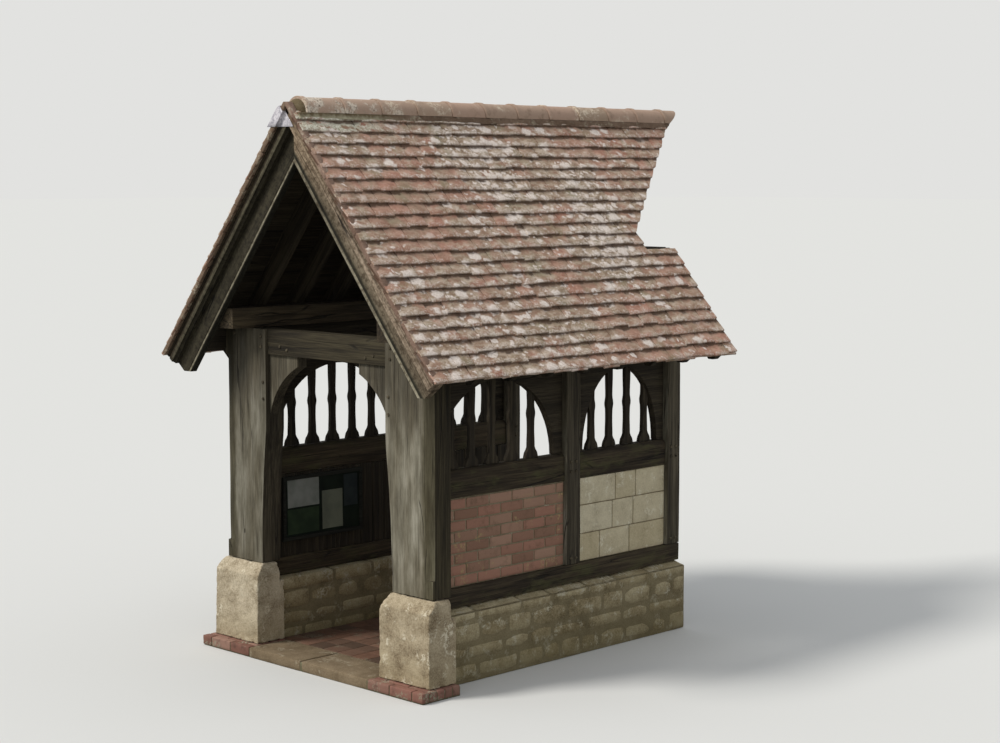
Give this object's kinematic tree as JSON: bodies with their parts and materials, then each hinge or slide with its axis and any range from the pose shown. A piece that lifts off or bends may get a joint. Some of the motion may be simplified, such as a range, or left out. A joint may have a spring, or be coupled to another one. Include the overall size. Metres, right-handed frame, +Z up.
{
  "type": "timber church porch",
  "caption": "Gabled oak porch of lychgate form, open through, on stone blocks and low walls, with waved splats under arched heads and a steep tiled roof cut to a saddle.",
  "frame": {"origin": "centre of the whole length and width, at ground level", "axes": "+Z up; -Y towards the entrance gable; +Y towards the church wall; +X to the right as one enters"},
  "size_m": [2.96, 4.0676, 3.997],
  "materials": {
    "threshold_stone": "worn sawn stone",
    "floor_clay": "dull red clay tile",
    "block_stone": "warm weathered limestone",
    "wall_stone": "coursed rubble with lime mortar",
    "oak_grey": "weathered silver oak",
    "oak_dark": "dark sheltered oak",
    "panel_brick": "soft red brick",
    "roof_clay": "red-brown clay tile with lichen",
    "ridge_clay": "brown terracotta",
    "mortar": "lime mortar",
    "barge_oak": "moulded weathered oak",
    "lead": "dull lead sheet",
    "board_paint": "dark painted board"
  },
  "bodies": {
    "root": {"threshold": "threshold_stone", "floor": "floor_clay", "padstone_left": "block_stone", "dwarf_wall_left": "wall_stone", "sill_beam_left": "oak_grey", "front_post_left": "oak_grey", "mid_post_left": "oak_grey", "rear_post_left": "oak_grey", "infill_panels_left": "panel_brick", "inner_boarding_left": "oak_dark", "mid_rail_left": "oak_grey", "splats_left": "oak_dark", "arch_heads_left": "oak_dark", "wall_plate_left": "oak_dark", "entrance_brace_left": "oak_dark", "rafters_left": "oak_dark", "roof_tiles_left": "roof_clay", "barge_board_left": "barge_oak", "padstone_right": "block_stone", "dwarf_wall_right": "wall_stone", "sill_beam_right": "oak_grey", "front_post_right": "oak_grey", "mid_post_right": "oak_grey", "rear_post_right": "oak_grey", "infill_panels_right": "panel_brick", "inner_boarding_right": "oak_dark", "mid_rail_right": "oak_grey", "splats_right": "oak_dark", "arch_heads_right": "oak_dark", "wall_plate_right": "oak_dark", "entrance_brace_right": "oak_dark", "rafters_right": "oak_dark", "roof_tiles_right": "roof_clay", "barge_board_right": "barge_oak", "tie_beam_front": "oak_dark", "tie_beam_rear": "oak_dark", "ridge_board": "oak_dark", "collars": "oak_dark", "valley_boards": "oak_dark", "ridge_mortar": "mortar", "ridge_tiles": "ridge_clay", "lead_cap": "lead", "notice_board": "board_paint"}
  },
  "joints": []
}
